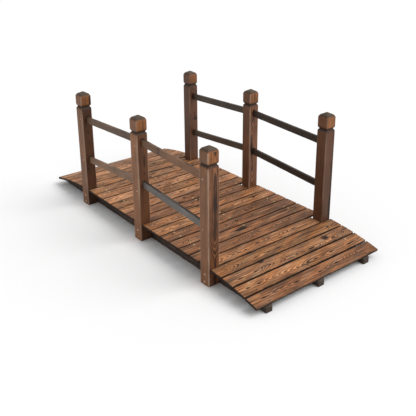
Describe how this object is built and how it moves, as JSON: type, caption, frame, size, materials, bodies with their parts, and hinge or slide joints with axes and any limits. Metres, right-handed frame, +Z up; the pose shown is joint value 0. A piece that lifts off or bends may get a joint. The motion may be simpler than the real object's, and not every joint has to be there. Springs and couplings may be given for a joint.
{
  "type": "garden bridge",
  "caption": "Small slatted wooden garden bridge, level in the middle and curved down at both ends, with capped posts and two sloping rails on each side.",
  "frame": {"origin": "on the ground under the middle of the bridge", "axes": "+X along the bridge towards its right-hand end, +Y across it towards the back railing, +Z up"},
  "size_m": [1.524, 0.6765, 0.561],
  "materials": {
    "deck_wood": "charred fir with a strong dark grain, satin stain",
    "stringer_wood": "charred fir, dark brown stain",
    "post_wood": "charred fir, brown stain, pale worn bevels",
    "rail_wood": "charred fir, dark brown stain",
    "screw_steel": "zinc plated screw heads"
  },
  "bodies": {
    "root": {"deck_board_01": "deck_wood", "deck_board_02": "deck_wood", "deck_board_03": "deck_wood", "deck_board_04": "deck_wood", "deck_board_05": "deck_wood", "deck_board_06": "deck_wood", "deck_board_07": "deck_wood", "deck_board_08": "deck_wood", "deck_board_09": "deck_wood", "deck_board_10": "deck_wood", "deck_board_11": "deck_wood", "deck_board_12": "deck_wood", "deck_board_13": "deck_wood", "deck_board_14": "deck_wood", "deck_board_15": "deck_wood", "deck_board_16": "deck_wood", "deck_board_17": "deck_wood", "deck_board_18": "deck_wood", "deck_board_19": "deck_wood", "deck_board_20": "deck_wood", "deck_board_21": "deck_wood", "deck_board_22": "deck_wood", "deck_board_23": "deck_wood", "stringer_front": "stringer_wood", "stringer_middle": "stringer_wood", "stringer_back": "stringer_wood", "post_front_left": "post_wood", "post_front_middle": "post_wood", "post_front_right": "post_wood", "post_back_left": "post_wood", "post_back_middle": "post_wood", "post_back_right": "post_wood", "rail_front_left_upper": "rail_wood", "rail_front_left_lower": "rail_wood", "rail_front_right_upper": "rail_wood", "rail_front_right_lower": "rail_wood", "rail_back_left_upper": "rail_wood", "rail_back_left_lower": "rail_wood", "rail_back_right_upper": "rail_wood", "rail_back_right_lower": "rail_wood"}
  },
  "joints": []
}
